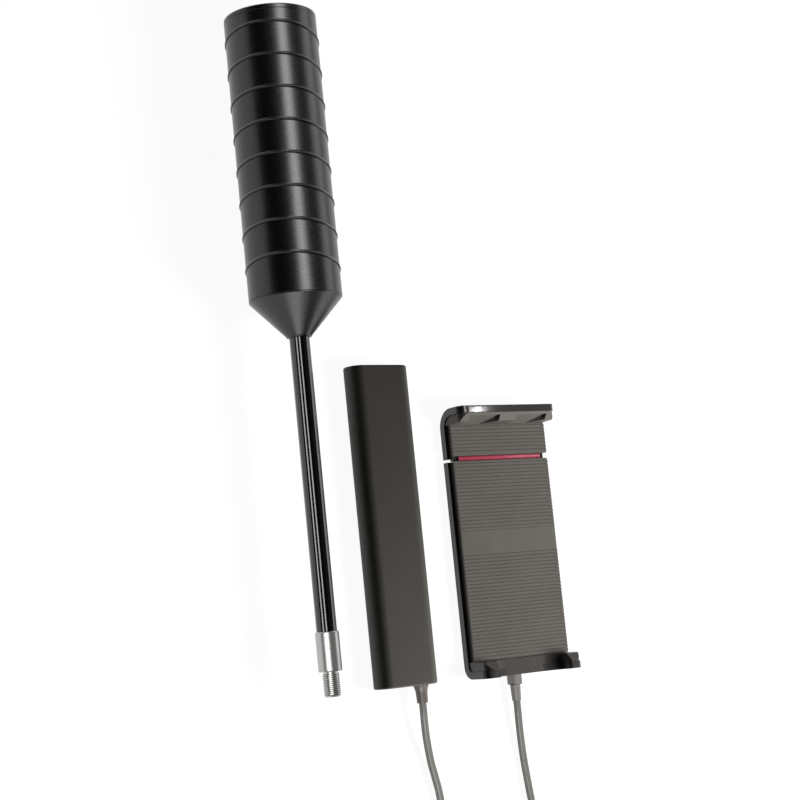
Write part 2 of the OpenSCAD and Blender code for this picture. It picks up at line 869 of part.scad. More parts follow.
module lower_grip() {
    y0 = lower_grip_end_y;
    y1 = body_top_y;
    band_y1 = y1 - band_top;
    band_y0 = band_y1 - band_len;
    upper_ribs = floor(band_top / rib_pitch);
    lower_ribs = floor((band_y0 - y0) / rib_pitch);
    band_z = grip_top_z - 0.2;
    color("#66625d") {
        grip_foot(y0, y1);
        along_x(cradle_left + grip_inset, cradle_right - grip_inset)
            polygon(concat([[y1, grip_plate_z], [y0, grip_plate_z], [y0, grip_top_z - rib_depth]],
                ribs(band_y0 - lower_ribs * rib_pitch, lower_ribs),
                [[band_y0 + 0.1, band_z], [band_y1 - 0.1, band_z]],
                ribs(band_y1, upper_ribs),
                [[y1, grip_top_z - rib_depth]]));
    }
}

module jaw_grip() {
    y0 = jaw_end_y;
    y1 = jaw_grip_top_y;
    count = floor((y1 - y0) / rib_pitch);
    color("#66625d") {
        grip_foot(y0, y1);
        along_x(cradle_left + grip_inset, cradle_right - grip_inset)
            polygon(concat([[y1, grip_plate_z], [y0, grip_plate_z], [y0, grip_top_z - rib_depth]],
                ribs((y0 + y1 - count * rib_pitch) / 2, count),
                [[y1, grip_top_z - rib_depth]]));
    }
}

module lower_lip_liner() {
    color("#6b6762")
        difference() {
            union() {
                intersection() {
                    at_lower_end()
                        along_x(cradle_left, cradle_right)
                            liner_section(lower_bend_r);
                    along_y(cradle_end_y, cradle_end_y + 2 * lip_root)
                        lower_lip_plan(grip_inset);
                }
                notch_floor(fit_gap);
            }
            plug_port();
        }
}

module jaw_lip_liner() {
    color("#6b6762")
        difference() {
            intersection() {
                at_upper_end()
                    along_x(cradle_left, cradle_right)
                        liner_section(jaw_bend_r);
                along_y(cradle_top_y - 2 * lip_root, cradle_top_y)
                    lip_plan(grip_inset);
            }
            jaw_pockets();
        }
}

// Two scoops in the front of the jaw's lip: each floor runs out at the grip and its right side slants
module jaw_pockets() {
    z0 = lip_pocket_z[0];
    z1 = lip_pocket_z[1];
    floor_d = [lip_root - lip_lean / 2, lip_front + 0.5];
    half = lip_pocket_w / 2;
    for (s = [-1, 1])
        translate([cradle_x + s * lip_pocket_dx, 0, 0])
            intersection() {
                at_upper_end()
                    along_x(-half, half)
                        polygon([[lip_root + 1, z0], [floor_d[0], z0], [floor_d[1], z1 - 0.6],
                            [floor_d[1] + 0.8, z1], [lip_root + 1, z1]]);
                along_y(cradle_top_y - lip_root - 1, cradle_top_y)
                    polygon([[-half, z0], [lip_pocket_run, z0], [half, lip_shoulder_z], [half, lip_z],
                        [-half, lip_z]]);
            }
}

module jaw_shell() {
    color("#3f3e3d")
        difference() {
            intersection() {
                at_upper_end()
                    along_x(cradle_left, cradle_right)
                        lip_section(cradle_top_y - jaw_end_y + jaw_lap, jaw_bend_r);
                along_y(jaw_end_y - jaw_lap - 1, cradle_top_y + 1)
                    lip_plan(0);
            }
            jaw_screw_places()
                screw_hole();
        }
}

module slide_plate() {
    left = cradle_left + groove_inset;
    right = cradle_right - groove_inset;
    wide_y = body_top_y + 0.3;
    ear_w = spring_slot_w - 2 * slide_gap;
    lo = shell_t + slide_gap;
    hi = grip_z - slide_gap;
    color("#242322")
        difference() {
            union() {
                box([left, right], [wide_y, cradle_top_y - jaw_bend_end], layer_z);
                box([left, right], [cradle_top_y - jaw_bend_end - 1, jaw_grip_top_y], jaw_bend_z);
                box([cradle_x - tongue_w / 2, cradle_x + tongue_w / 2], [tongue_end_y, wide_y + 1], [lo, hi]);
                for (s = [-1, 1])
                    translate([cradle_x + s * spring_dx, 0, 0])
                        box([-ear_w / 2, ear_w / 2], [spring_top_y + spring_r, wide_y + 1], [lo, hi]);
            }
            for (s = [-1, 1])
                translate([cradle_x + s * tongue_slot_dx, 0, 0])
                    box([-tongue_slot_w / 2, tongue_slot_w / 2], [tongue_end_y + 6, wide_y - 24],
                        [lo - 1, hi + 1]);
            jaw_screw_places()
                cylinder(h = 2 * grip_z, r = screw_r + fit_gap);
        }
}

module accent_strip() {
    edge = 0.5;
    y0 = body_top_y + 0.35;
    y1 = jaw_end_y - 0.1;
    z1 = grip_z + 1.3;
    color("#b03a52")
        along_x(cradle_x - strip_len / 2, cradle_x + strip_len / 2)
            polygon([[y0, grip_z], [y1, grip_z], [y1, z1 - edge], [y1 - edge, z1], [y0 + edge, z1],
                [y0, z1 - edge]]);
}

module inner_antenna_board() {
    edge = 0.5;
    color("#2f5d3a")
        box([cradle_x - bay_half_w + edge, cradle_x + bay_half_w - edge], [bay_y[0] + edge, bay_y[1] - edge],
            [shell_t + fit_gap, shell_t + fit_gap + board_t]);
}

module coax_socket() {
    color("#bfa15d")
        box([plug_x - socket_half_w, plug_x + socket_half_w], socket_y, socket_z);
}

module mount_inserts() {
    color("#b08d4c")
        mount_places()
            difference() {
                cylinder(h = shell_t - 0.2, r = insert_r);
                translate([0, 0, -1])
                    cylinder(h = shell_t + 2, r = mount_d / 2);
            }
}

module shell_screws() {
    color("#77756f")
        shell_screw_places()
            screw();
}

module jaw_screws() {
    color("#77756f")
        jaw_screw_places()
            screw();
}

module spring_pins() {
    color("#9a9a96")
        for (s = [-1, 1])
            translate([cradle_x + s * spring_dx, spring_pin_y, shell_t])
                cylinder(h = slide_t, r = spring_pin_r);
}

module return_springs() {
    per_turn = 8;
    y0 = spring_pin_y + spring_pin_r + spring_wire_r;
    y1 = spring_top_y + spring_r - 0.3;
    steps = spring_turns * per_turn;
    color("#8d8d89")
        for (s = [-1, 1])
            tube([for (i = [0 : steps])
                [cradle_x + s * spring_dx + spring_r * cos(360 * i / per_turn),
                    y0 + (y1 - y0) * i / steps,
                    mid_z + spring_r * sin(360 * i / per_turn)]],
                spring_wire_r, 4, [0, 1, 0]);
}

// Cord: plug and boot at the cradle, two runs, coil and tie
module plug() {
    edge = 0.8;
    y0 = cradle_end_y - plug_len;
    color("#5d5a55")
        translate([plug_x, 0, plug_z])
            difference() {
                along_y(y0, cradle_end_y + plug_nose)
                    rounded(plug_w, plug_t, edge);
                for (s = [-1, 1])
                    translate([s * plug_w / 2, y0, 0])
                        rotate([0, 0, 45])
                            cube([1.4 * edge, 1.4 * edge, 2 * plug_t], center = true);
            }
}

module plug_boot() {
    y1 = cradle_end_y - plug_len - touch_gap;
    color("#5d5a55")
        translate([plug_x, 0, plug_z])
            rotate([-90, 0, 0])
                turned([[0, boot_end_y], [cord_r + 0.4, boot_end_y], [cord_r + 1, y1], [0, y1]]);
}

module booster_cord_run() {
    color("#4a4845")
        tube(smooth_path(booster_run, 3), cord_r, 10, [0, 0, 1]);
}

module cradle_cord_run() {
    color("#4a4845")
        tube(smooth_path(cradle_run, 3), cord_r, 10, [0, 0, 1]);
}

module cord_coil() {
    half_w = (turns_wide - 1) * turn_step / 2;
    height = (turns_high - 1) * turn_step;
    color("#4a4845")
        translate([coil_x, coil_y, coil_z + cord_r])
            rotate_extrude($fn = 96)
                translate([coil_r, 0]) {
                    for (i = [0 : turns_wide - 1], j = [0 : turns_high - 1])
                        translate([i * turn_step - half_w, j * turn_step])
                            circle(cord_r, $fn = 24);
                    translate([-half_w, 0])
                        square([2 * half_w, height]);
                }
}

module coil_tie() {
    half_w = (turns_wide - 1) * turn_step / 2 + cord_r + 0.6;
    height = (turns_high - 1) * turn_step + cord_d + 0.4;
    length = 9;
    color("#2b2b2b")
        translate([0, coil_y - coil_r, coil_z - 0.2])
            along_x(coil_x - length / 2, coil_x + length / 2)
                difference() {
                    translate([-half_w - tie_t, -tie_t])
                        square([2 * (half_w + tie_t), height + 2 * tie_t]);
                    translate([-half_w, 0])
                        square([2 * half_w, height]);
                }
}

radome();
radome_cap();
radome_cone();
upper_radiator();
lower_radiator();
radiator_spacers();
feed_coax();
mast();
ferrule();
stud();
booster_sleeve();
upper_end_cap();
lower_end_cap();
end_cap_screws();
main_board();
shield_cans();
thermal_pads();
antenna_jack();
power_inlet();
strain_relief();
cradle_shell();
cradle_chassis();
lower_grip();
lower_lip_liner();
inner_antenna_board();
coax_socket();
mount_inserts();
shell_screws();
spring_pins();
return_springs();
jaw_shell();
jaw_grip();
jaw_lip_liner();
slide_plate();
accent_strip();
jaw_screws();
plug();
plug_boot();
booster_cord_run();
cradle_cord_run();
cord_coil();
coil_tie();
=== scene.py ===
"""A signal booster kit on a table: outside antenna, booster box, phone cradle and the cord between them."""
import json
import math

import bmesh
import bpy
from mathutils import Matrix, Vector


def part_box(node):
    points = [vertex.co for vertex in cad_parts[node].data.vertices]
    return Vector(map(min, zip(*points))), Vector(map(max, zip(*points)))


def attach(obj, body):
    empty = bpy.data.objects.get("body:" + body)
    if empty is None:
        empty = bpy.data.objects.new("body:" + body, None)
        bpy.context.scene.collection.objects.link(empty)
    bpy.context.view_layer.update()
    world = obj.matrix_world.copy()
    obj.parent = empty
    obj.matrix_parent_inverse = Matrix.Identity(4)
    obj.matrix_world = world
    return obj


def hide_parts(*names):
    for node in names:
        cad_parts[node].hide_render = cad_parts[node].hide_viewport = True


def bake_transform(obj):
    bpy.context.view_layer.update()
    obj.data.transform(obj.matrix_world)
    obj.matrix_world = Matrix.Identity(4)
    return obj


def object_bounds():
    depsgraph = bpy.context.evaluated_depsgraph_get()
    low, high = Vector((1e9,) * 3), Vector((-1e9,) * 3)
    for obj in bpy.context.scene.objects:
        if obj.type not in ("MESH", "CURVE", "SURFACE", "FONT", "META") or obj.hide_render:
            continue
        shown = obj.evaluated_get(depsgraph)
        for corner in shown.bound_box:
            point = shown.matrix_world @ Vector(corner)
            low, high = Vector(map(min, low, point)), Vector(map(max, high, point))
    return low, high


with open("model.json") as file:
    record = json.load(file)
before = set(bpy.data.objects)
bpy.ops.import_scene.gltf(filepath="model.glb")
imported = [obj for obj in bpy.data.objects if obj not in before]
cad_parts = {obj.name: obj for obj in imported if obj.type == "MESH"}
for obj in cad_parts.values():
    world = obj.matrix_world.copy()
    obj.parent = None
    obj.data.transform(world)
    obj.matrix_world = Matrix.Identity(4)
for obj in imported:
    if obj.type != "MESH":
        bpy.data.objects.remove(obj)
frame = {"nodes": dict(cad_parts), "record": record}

MM = 0.001
cad_box = [list(corner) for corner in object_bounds()]
scene = bpy.context.scene
scene.view_settings.view_transform = "Standard"
slot_of = {row["node"]: row["material_slot"] for row in frame["record"]["subparts"]}
# Finished pieces by name
made = {}


# Camera, table and light

def place_camera():
    turn, tilt, roll = (math.radians(angle) for angle in (34, 7, 5.7))
    target, distance = Vector((5.15, -20.6, 0)) * MM, 1.098
    level_ahead = Vector((math.sin(turn), 0, -math.cos(turn)))
    level_right = Vector((math.cos(turn), 0, math.sin(turn)))
    level_up = Vector((0, 1, 0))
    ahead = level_ahead * math.cos(tilt) + level_up * math.sin(tilt)
    raised = level_up * math.cos(tilt) - level_ahead * math.sin(tilt)
    right = level_right * math.cos(roll) - raised * math.sin(roll)
    up = level_right * math.sin(roll) + raised * math.cos(roll)
    lens = bpy.data.cameras.new("camera")
    lens.lens, lens.sensor_width = 81, 36
    camera = bpy.data.objects.new("camera", lens)
    camera.matrix_world = (Matrix.Translation(target - ahead * distance)
                           @ Matrix((right, up, -ahead)).transposed().to_4x4())
    scene.collection.objects.link(camera)
    scene.camera = camera


def add(tree, kind, inputs=None, **settings):
    """Adds a shader node with its settings, and links or sets its inputs."""
    node = tree.nodes.new("ShaderNode" + kind)
    for name, value in settings.items():
        setattr(node, name, value)
    for socket, value in (inputs or {}).items():
        if isinstance(value, bpy.types.NodeSocket):
            tree.links.new(value, node.inputs[socket])
        else:
            node.inputs[socket].default_value = value
    return node


def colour(code):
    """Linear colour from an sRGB hex value."""
    parts = [int(code[i:i + 2], 16) / 255 for i in (1, 3, 5)]
    return [c / 12.92 if c < 0.04045 else ((c + 0.055) / 1.055) ** 2.4 for c in parts] + [1]


def seen_directly(tree):
    """1 for what the camera sees straight, in a mirror or through glass, 0 for scattered light."""
    path = add(tree, "LightPath").outputs
    shine = add(tree, "Math", {0: path["Is Glossy Ray"], 1: path["Is Transmission Ray"]}, operation="MAXIMUM")
    return add(tree, "Math", {0: path["Is Camera Ray"], 1: shine.outputs[0]}, operation="MAXIMUM").outputs[0]


def lay_table():
    shape = bmesh.new()
    bmesh.ops.create_grid(shape, x_segments=1, y_segments=1, size=6)
    bmesh.ops.translate(shape, verts=shape.verts, vec=(0, 0, cad_box[0][2] - 0.1 * MM))
    mesh = bpy.data.meshes.new("table")
    shape.to_mesh(mesh)
    shape.free()
    paper = bpy.data.materials.new("white_paper")
    paper.use_nodes = True
    tree = paper.node_tree
    tree.nodes.clear()
    plain = add(tree, "BsdfDiffuse", {"Color": colour("#b8b8b6")})
    shade = add(tree, "BsdfDiffuse", {"Color": colour("#6a6a6a")})
    glow = add(tree, "Emission", {"Color": colour("#ffffff"), "Strength": 0.945})
    bright = add(tree, "AddShader", {0: shade.outputs[0], 1: glow.outputs[0]})
    mixed = add(tree, "MixShader", {0: seen_directly(tree), 1: plain.outputs[0], 2: bright.outputs[0]})
    add(tree, "OutputMaterial", {"Surface": mixed.outputs[0]})
    mesh.materials.append(paper)
    table = bpy.data.objects.new("table", mesh)
    scene.collection.objects.link(table)


TUBE = ("radome_tube", "radome_lid", "tapered_neck")
RODS = ("mast_tube", "ferrule_sleeve", "threaded_stud")
CASE = ("booster_case", "top_cap", "bottom_cap", "cord_relief")
MID_MAST = (-0.079, -0.1, 0.028)
# Name, place, aim and size in metres, watts, what the lamp gives, and the pieces it is kept to or kept off
LAMPS = (
    ("radome_box", (-0.14, 1.6, 1.0), (-0.14, 1.6, 0), (0.34, 3.2), 30, "shine",
     TUBE + ("jaw_back", "cradle_back")),
    ("jaw_spot", (0.0801, -0.0242, 0.072), (0.0447, -0.0309, 0.024), (0.004, 0.004), 0.006, "shine",
     ("jaw_back",)),
    ("strip_spot", (0.316, -0.03, 0.283), (0.1, -0.059, 0.009), (0.05, 0.05), 0.018, "shine",
     ("red_strip",)),
    ("right_box", (0.8, 0.35, 0.45), (-0.08, 0.1, 0.03), (1.4, 0.42), 3.6, "shine", TUBE + RODS),
    ("front_wall", (-0.4, -0.85, 0.35), (-0.08, 0.05, 0.03), (1.2, 0.5), 2.7, "shine", TUBE),
    ("side_wall", (1.0, -0.5, 0.3), (-0.08, 0.03, 0.03), (1.1, 0.5), 3.4, "shine", TUBE),
    ("front_box", (-0.22, -0.75, 0.24), (-0.08, 0.02, 0.03), (0.3, 0.4), 1.0, "shine", TUBE),
    ("low_strip", (-0.895, -0.1, 0.408), MID_MAST, (0.6, 0.2), 2.4, "shine", RODS[:1]),
    ("high_strip", (-0.529, -0.1, 0.807), MID_MAST, (0.6, 0.2), 2.4, "shine", RODS),
    ("metal_strip", (-0.748, -0.1, 0.63), MID_MAST, (0.6, 0.16), 2.4, "shine", RODS[1:]),
    ("metal_wall", (0.3, -0.1, 1.0), (-0.079, -0.17, 0.028), (0.7, 0.7), 0.3, "shine", RODS[1:]),
    ("case_key", (0.22, -0.43, 0.18), (-0.016, -0.1, 0.01), (0.18, 0.18), 4.9, "colour", CASE),
    ("cord_key", (-0.25, -0.4, 0.35), (0.03, -0.22, 0), (0.2, 0.2), 2.3, "both",
     ("cord", "cord_relief", "plug_body", "plug_sleeve")),
    ("left_fill", (-0.5, -0.1, 0.2), (0.035, -0.1, 0.008), (0.2, 0.2), 0.9, "colour",
     ("jaw_pad", "lower_pad", "slide_tongue", "slide_channel")),
    ("cradle_key", (0.49, -0.285, 0.525), (0.05, -0.1, 0), (0.3, 0.3), 6.9, "colour", CASE, "EXCLUDE"),
)


def hang_lamp(name, place, aim, size, power, gives):
    """A soft box, turned from its place towards its aim, that gives shine, colour or both."""
    light = bpy.data.lights.new(name, "AREA")
    light.shape, light.energy = "RECTANGLE", power
    light.size, light.size_y = size
    lamp = bpy.data.objects.new(name, light)
    lamp.location = place
    lamp.rotation_mode = "QUATERNION"
    lamp.rotation_quaternion = (Vector(aim) - Vector(place)).to_track_quat("-Z", "Y")
    lamp.visible_diffuse, lamp.visible_glossy = gives != "shine", gives != "colour"
    lamp.visible_camera = False
    scene.collection.objects.link(lamp)
    return lamp


def share_light(lamp, names, state="INCLUDE"):
    """Keeps a lamp to the named pieces, or off them."""
    group = bpy.data.collections.new(lamp.name + "_pieces")
    for name in names:
        group.objects.link(made[name])
    lamp.light_linking.receiver_collection = group
    for row in group.collection_objects:
        row.light_linking.link_state = state


def set_light():
    """Each unit has its own soft lamps, as when they are photographed one by one."""
    for name, place, aim, size, power, gives, names, *state in LAMPS:
        share_light(hang_lamp(name, place, aim, size, power, gives), names, *state)


def set_room():
    """A dim room with a pale wall low on the right, but white where the camera looks straight at it."""
    world = bpy.data.worlds.new("studio")
    world.use_nodes = True
    scene.world = world
    tree = world.node_tree
    tree.nodes.clear()
    way = add(tree, "SeparateXYZ", {0: add(tree, "TexCoord").outputs["Generated"]}).outputs
    right = add(tree, "MapRange", {"Value": way["X"], "From Min": -0.1, "From Max": 0.5},
                interpolation_type="SMOOTHSTEP").outputs[0]
    low = add(tree, "MapRange",
              {"Value": way["Z"], "From Min": 0.1, "From Max": 0.5, "To Min": 1, "To Max": 0},
              interpolation_type="SMOOTHSTEP").outputs[0]
    glow = add(tree, "Math", {0: right, 1: low}, operation="MULTIPLY").outputs[0]
    room = add(tree, "Mix", {0: right, 6: colour("#141414"), 7: colour("#404040")}, data_type="RGBA")
    walls = add(tree, "Mix", {0: glow, 6: room.outputs[2], 7: colour("#a8a8a6")}, data_type="RGBA")
    eye = add(tree, "LightPath").outputs["Is Camera Ray"]
    seen = add(tree, "Mix", {0: eye, 6: walls.outputs[2], 7: colour("#ffffff")}, data_type="RGBA")
    back = add(tree, "Background", {"Color": seen.outputs[2]})
    add(tree, "OutputWorld", {"Surface": back.outputs[0]})


# Finishes

def new_finish(name):
    """A material with its tree and its main shader."""
    finish = bpy.data.materials.new(name)
    finish.use_nodes = True
    tree = finish.node_tree
    return finish, tree, tree.nodes["Principled BSDF"]


def dress(tree, skin, place, dark, light, cloud, roughness, grain, depth, spread):
    """Colour clouds, a fine grain in the skin and the roughness that goes with it; sizes in mm."""
    clouds = add(tree, "TexNoise", {"Vector": place, "Scale": 1 / (cloud * MM), "Detail": 4}).outputs[0]
    tint = add(tree, "Mix", {0: clouds, 6: colour(dark), 7: colour(light)}, data_type="RGBA")
    grains = add(tree, "TexNoise", {"Vector": place, "Scale": 1 / (grain * MM), "Detail": 2}).outputs[0]
    dull = add(tree, "MapRange", {"Value": grains, "From Min": 0.3, "From Max": 0.7,
                                  "To Min": roughness - spread, "To Max": roughness + spread})
    relief = add(tree, "Bump", {"Height": grains, "Strength": 1, "Distance": depth * MM})
    tree.links.new(tint.outputs[2], skin.inputs["Base Color"])
    tree.links.new(dull.outputs[0], skin.inputs["Roughness"])
    tree.links.new(relief.outputs[0], skin.inputs["Normal"])


def moulded(name, dark, light, roughness, grain, depth, ior, spread=0.05, **sockets):
    """Plastic or rubber out of a mould; its grain is coarser than the real one, so that it shows."""
    finish, tree, skin = new_finish(name)
    place = add(tree, "TexCoord").outputs["Object"]
    dress(tree, skin, place, dark, light, 16, roughness, grain, depth, spread)
    skin.inputs["IOR"].default_value = ior
    for socket, value in sockets.items():
        skin.inputs[socket.replace("_", " ")].default_value = value
    return finish


def turned_metal(name, dark, light, roughness, line, depth):
    """Metal off the lathe: fine rings along Y, each a little brighter or darker; line width in mm."""
    finish, tree, skin = new_finish(name)
    place = add(tree, "TexCoord").outputs["Object"]
    along = add(tree, "SeparateXYZ", {0: place}).outputs["Y"]
    rings = add(tree, "TexNoise", {"W": along, "Scale": 1 / (line * MM), "Detail": 3},
                noise_dimensions="1D").outputs[0]
    tint = add(tree, "Mix", {0: rings, 6: colour(dark), 7: colour(light)}, data_type="RGBA")
    dull = add(tree, "MapRange", {"Value": rings, "To Min": roughness - 0.04, "To Max": roughness + 0.08})
    relief = add(tree, "Bump", {"Height": rings, "Strength": 1, "Distance": depth * MM})
    tree.links.new(tint.outputs[2], skin.inputs["Base Color"])
    tree.links.new(dull.outputs[0], skin.inputs["Roughness"])
    tree.links.new(relief.outputs[0], skin.inputs["Normal"])
    skin.inputs["Metallic"].default_value = 1
    return finish


def circuit_laminate():
    """Glass-fibre board under green solder mask: copper tracks show as paler lines, 1 mm apart."""
    finish, tree, skin = new_finish("circuit_laminate")
    place = add(tree, "TexCoord").outputs["Object"]
    tracks = add(tree, "TexBrick", {"Vector": place, "Color1": colour("#1d5a35"), "Color2": colour("#174a2c"),
                                    "Mortar": colour("#3a8a55"), "Scale": 1 / (4 * MM), "Mortar Size": 0.03})
    tree.links.new(tracks.outputs[0], skin.inputs["Base Color"])
    skin.inputs["Roughness"].default_value = 0.35
    return finish


def woven_strap():
    """Hook-and-loop tape: a polyester weave with 0.6 mm threads."""
    finish, tree, skin = new_finish("woven_strap")
    place = add(tree, "TexCoord").outputs["Object"]
    thread = 0.6 * MM
    weave = [add(tree, "TexWave", {"Vector": place, "Scale": 1 / thread / math.tau * 2}, bands_direction=way)
             for way in ("X", "DIAGONAL")]
    cross = add(tree, "Math", {0: weave[0].outputs["Fac"], 1: weave[1].outputs["Fac"]}, operation="MULTIPLY")
    tint = add(tree, "Mix", {0: cross.outputs[0], 6: colour("#151515"), 7: colour("#3a3a3a")},
               data_type="RGBA")
    relief = add(tree, "Bump", {"Height": cross.outputs[0], "Strength": 1, "Distance": 0.15 * MM})
    tree.links.new(tint.outputs[2], skin.inputs["Base Color"])
    tree.links.new(relief.outputs[0], skin.inputs["Normal"])
    skin.inputs["Roughness"].default_value = 0.85
    skin.inputs["Sheen Weight"].default_value = 0.3
    return finish


FINISHES = {
    # Weatherproof ABS, moulded and left satin: a clear but soft-edged highlight
    "radome_plastic": moulded("satin_black_abs", "#020202", "#040404", 0.3, 0.5, 0.002, 1.55),
    # Baked enamel on steel tube: mirror gloss with thin bright lines
    "mast_enamel": moulded("black_enamel", "#090909", "#0e0e0e", 0.1, 3, 0.0001, 1.52,
                           spread=0.01, Coat_Weight=0.5),
    # Bright nickel on turned brass: one white streak with soft edges
    "nickel": turned_metal("nickel_plate", "#a9aaa7", "#c6c7c4", 0.34, 0.12, 0.0003),
    # Stainless steel as cut, without plating: bright and a little blurred
    "steel": turned_metal("stainless_steel", "#aeaeab", "#cfcfcc", 0.34, 0.1, 0.0005),
    # Drawn brass, slightly tarnished: warm and even
    "brass": turned_metal("drawn_brass", "#9a7433", "#c49a4c", 0.25, 0.2, 0.003),
    # Natural nylon: milky and satin
    "white_plastic": moulded("natural_nylon", "#d8d4c8", "#e6e2d8", 0.45, 0.4, 0.01, 1.53),
    # Soft-touch lacquer over an extruded case: matte, warm charcoal, hardly any shine
    "booster_coat": moulded("soft_touch_lacquer", "#44423e", "#4a4844", 0.55, 0.35, 0.012, 1.5),
    # ABS of the end caps: as dark as the case, with a duller shine
    "cap_plastic": moulded("charcoal_abs", "#262524", "#2f2e2c", 0.45, 0.4, 0.012, 1.54),
    # Glass-fibre board under solder mask: green with paler tracks
    "circuit_board": circuit_laminate(),
    # Silicone gap filler: soft, dull blue-grey
    "thermal_pad": moulded("silicone_pad", "#6d7f92", "#8093a6", 0.7, 0.6, 0.03, 1.41),
    # Flexible PVC jacket: dull with a soft sheen
    "cord_rubber": moulded("pvc_jacket", "#5a5955", "#65635f", 0.45, 0.5, 0.01, 1.53),
    # ABS shells of the cradle: satin, dark warm grey
    "shell_plastic": moulded("dark_grey_abs", "#3a3836", "#42403e", 0.2, 0.45, 0.0025, 1.54, spread=0.02),
    # Acetal slide layer: black and waxy
    "slide_plastic": moulded("black_acetal", "#2a2826", "#32302e", 0.4, 0.5, 0.006, 1.48),
    # Thermoplastic rubber pads: matte grey with a moulded grain
    "grip_rubber": moulded("grey_tpe", "#5f5b56", "#6b6762", 0.62, 0.4, 0.015, 1.5),
    # Tinted polycarbonate: clear red gloss
    "red_plastic": moulded("red_polycarbonate", "#9f354a", "#b3475a", 0.2, 0.6, 0.001, 1.58, Coat_Weight=0.4),
    # Hook-and-loop tape of woven polyester: matte, with a weave that shows
    "tie_strap": woven_strap(),
}
# Moulded rubber of the cord's strain relief: brown grey, a soft streak of light along it
relief_rubber = moulded("brown_grey_rubber", "#45403e", "#514b49", 0.42, 0.4, 0.012, 1.5)
# The linings of the lips: the grips' rubber in two copies, a paler one on the jaw that is painted light and a
# darker one on the lower lip that is painted shade; the lower lip's copy is out of a polished mould
painted_lit_rubber = moulded("grey_tpe_painted_lit", "#6f6b66", "#797570", 0.55, 0.4, 0.015, 1.5)
painted_shade_rubber = moulded("grey_tpe_painted_shade", "#474441", "#4f4c49", 0.3, 0.4, 0.008, 1.5)
# Overmoulded PVC of the plug and its boot: paler than the cord
plug_vinyl = moulded("grey_vinyl", "#62605c", "#6d6b67", 0.38, 0.4, 0.01, 1.53)


# Shapes, drawn in mm

# Points closer than this are one point
MERGE = 0.002


def filleted(corners, closed=True):
    """Flat outline from corners (a, b) or (a, b, radius), each radius drawn as an arc."""
    outline = []
    for i, corner in enumerate(corners):
        here = Vector(corner[:2])
        if len(corner) < 3 or (not closed and i in (0, len(corners) - 1)):
            outline.append(here)
            continue
        radius = corner[2]
        before = (Vector(corners[i - 1][:2]) - here).normalized()
        after = (Vector(corners[(i + 1) % len(corners)][:2]) - here).normalized()
        half = before.angle(after) / 2
        middle = here + (before + after).normalized() * radius / math.sin(half)
        start = here + before * radius / math.tan(half) - middle
        turn = math.pi - 2 * half
        steps = max(2, round(turn / math.radians(11)))
        way = 1 if before.cross(after) < 0 else -1
        outline += [middle + Matrix.Rotation(way * turn * k / steps, 2) @ start for k in range(steps + 1)]
    return outline


def cleaned(shape):
    """Merges points that meet and turns all faces outwards."""
    bmesh.ops.remove_doubles(shape, verts=shape.verts, dist=MERGE)
    bmesh.ops.recalc_face_normals(shape, faces=shape.faces)
    return shape


def revolved(section, centre, closed=True, steps=128):
    """Round piece on a line along Y through centre (x, z), from its half section (y, radius)."""
    x, z = centre
    shape = bmesh.new()
    corners = [shape.verts.new((x + radius, y, z)) for y, radius in section]
    ends = corners[1:] + corners[:1] if closed else corners[1:]
    edges = [shape.edges.new(pair) for pair in zip(corners, ends)]
    bmesh.ops.spin(shape, geom=corners + edges, cent=(x, 0, z), axis=(0, 1, 0),
                   angle=math.tau, steps=steps, use_merge=True)
    return cleaned(shape)


def rectangle(centre, half_x, half_z):
    """Corners (x, z) of a rectangle round its centre."""
    x, z = centre
    return [(x - half_x, z - half_z), (x + half_x, z - half_z),
            (x + half_x, z + half_z), (x - half_x, z + half_z)]


def prism(outline, along, low, high):
    """Outline carried along one axis (0, 1 or 2); its two values follow the other two axes."""
    shape = bmesh.new()
    corners = []
    for a, b in outline:
        point = [a, b]
        point.insert(along, low)
        corners.append(shape.verts.new(point))
    grown = bmesh.ops.extrude_face_region(shape, geom=[shape.faces.new(corners)])
    shift = [0, 0, 0]
    shift[along] = high - low
    moved = [g for g in grown["geom"] if isinstance(g, bmesh.types.BMVert)]
    bmesh.ops.translate(shape, vec=shift, verts=moved)
    return cleaned(shape)


def softened(shape, width, sharper=30, segments=3, pick=None):
    """Rounds the edges that turn by more than the given angle."""
    edges = [e for e in shape.edges if len(e.link_faces) == 2
             and e.calc_face_angle() > math.radians(sharper) and (pick is None or pick(e))]
    bmesh.ops.bevel(shape, geom=edges, offset=width, offset_type="OFFSET", affect="EDGES",
                    segments=segments, profile=0.5, material=-1, clamp_overlap=True)
    return shape


def solid_of(node):
    """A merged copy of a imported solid, in mm, with flat areas as single faces."""
    shape = bmesh.new()
    shape.from_mesh(frame["nodes"][node].data)
    bmesh.ops.scale(shape, vec=(1 / MM,) * 3, verts=shape.verts)
    bmesh.ops.remove_doubles(shape, verts=shape.verts, dist=MERGE)
    bmesh.ops.dissolve_limit(shape, angle_limit=math.radians(0.6), verts=shape.verts, edges=shape.edges)
    return shape


def combined(first, second, operation):
    """Join, overlap or difference of two solids."""
    holders = []
    for shape in (first, second):
        mesh = bpy.data.meshes.new("blank")
        shape.to_mesh(mesh)
        shape.free()
        holders.append(bpy.data.objects.new("blank", mesh))
        scene.collection.objects.link(holders[-1])
    step = holders[0].modifiers.new("cut", "BOOLEAN")
    step.operation, step.object, step.solver = operation, holders[1], "EXACT"
    result = bmesh.new()
    result.from_object(holders[0], bpy.context.evaluated_depsgraph_get())
    for holder in holders:
        mesh = holder.data
        bpy.data.objects.remove(holder)
        bpy.data.meshes.remove(mesh)
    return result


def joined(shapes):
    """Several shapes as one, side by side."""
    whole = bmesh.new()
    for shape in shapes:
        mesh = bpy.data.meshes.new("blank")
        shape.to_mesh(mesh)
        shape.free()
        whole.from_mesh(mesh)
        bpy.data.meshes.remove(mesh)
    return whole


